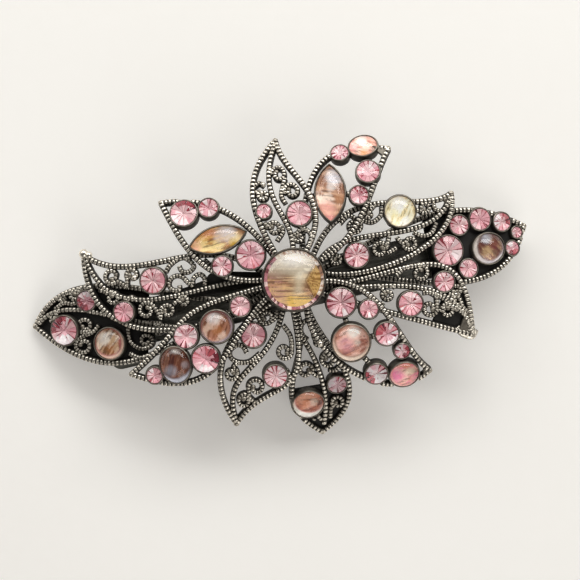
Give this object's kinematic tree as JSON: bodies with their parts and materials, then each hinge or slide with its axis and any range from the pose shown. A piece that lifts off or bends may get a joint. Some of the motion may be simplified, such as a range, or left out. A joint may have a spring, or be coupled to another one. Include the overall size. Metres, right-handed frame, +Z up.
{
  "type": "flower hair clip",
  "caption": "Snap hair clip with a sprung pinch catch under a layered filigree flower of drooping leaves, set with faceted and domed stones round a large central stone.",
  "frame": {"origin": "under the middle of the flower, on the plane that the closed clip rests on", "axes": "+X along the clip towards its hinge, +Y across it, +Z up out of the flower's face"},
  "size_m": [0.1008, 0.0592, 0.022],
  "materials": {
    "clip_steel": "satin nickel-plated spring steel, lightly worn",
    "antique_silver": "cast filigree, dark antique silver with bright rubbed ridges",
    "pink_crystal": "faceted pink stone, foiled behind",
    "centre_crystal": "domed iridescent stone, gold and peach stripes under a clear face",
    "amber_crystal": "domed iridescent stone, amber and clear",
    "yellow_crystal": "domed iridescent stone, pale yellow",
    "rose_crystal": "domed iridescent stone, rose and peach"
  },
  "bodies": {
    "flower": {"base_bar": "clip_steel", "hinge_pin": "clip_steel", "catch_plate": "clip_steel", "catch_rivet": "clip_steel", "mount_rivets": "clip_steel", "hub_plate": "antique_silver", "centre_cup": "antique_silver", "centre_stone": "centre_crystal", "far_left_leaf": "antique_silver", "left_leaf": "antique_silver", "upper_left_petal": "antique_silver", "top_petal": "antique_silver", "upper_right_petal": "antique_silver", "upper_right_leaf": "antique_silver", "far_right_leaf": "antique_silver", "lower_right_leaf": "antique_silver", "lower_right_petal": "antique_silver", "bottom_right_petal": "antique_silver", "bottom_left_petal": "antique_silver", "lower_left_petal": "antique_silver", "far_left_chatons": "pink_crystal", "left_chatons": "pink_crystal", "upper_left_chatons": "pink_crystal", "top_chatons": "pink_crystal", "upper_right_chatons": "pink_crystal", "upper_right_leaf_chaton": "pink_crystal", "far_right_chatons": "pink_crystal", "lower_right_leaf_chatons": "pink_crystal", "lower_right_chatons": "pink_crystal", "bottom_right_chaton": "pink_crystal", "bottom_left_chatons": "pink_crystal", "lower_left_chatons": "pink_crystal", "far_left_cabochon": "amber_crystal", "yellow_cabochon": "yellow_crystal", "peach_cabochon": "rose_crystal", "far_right_cabochon": "amber_crystal", "lower_right_cabochons": "rose_crystal", "bottom_cabochon": "rose_crystal", "lower_left_cabochons": "amber_crystal", "left_marquise": "amber_crystal", "right_marquise": "amber_crystal"},
    "arm": {"clasp_arm": "clip_steel"},
    "spring": {"tension_spring": "clip_steel"},
    "front_leg": {"front_prong": "clip_steel"},
    "rear_leg": {"rear_prong": "clip_steel"}
  },
  "joints": [
    {"name": "arm_hinge", "type": "hinge", "parent": "flower", "child": "arm", "pos_m": [0.038, -0.0014, 0.0016], "axis": [0, -1, 0], "range_deg": [0, 75]},
    {"name": "spring_flex", "type": "hinge", "parent": "flower", "child": "spring", "pos_m": [0.0336, -0.0014, 0.0034], "axis": [0, 1, 0], "range_deg": [0, 0.8], "stiffness_Nm_per_rad": 0.05},
    {"name": "front_pinch", "type": "slide", "parent": "flower", "child": "front_leg", "axis": [0, 1, 0], "range_m": [0, 0.0006], "stiffness_N_per_m": 800},
    {"name": "rear_pinch", "type": "slide", "parent": "flower", "child": "rear_leg", "axis": [0, -1, 0], "range_m": [0, 0.0006], "stiffness_N_per_m": 800}
  ]
}
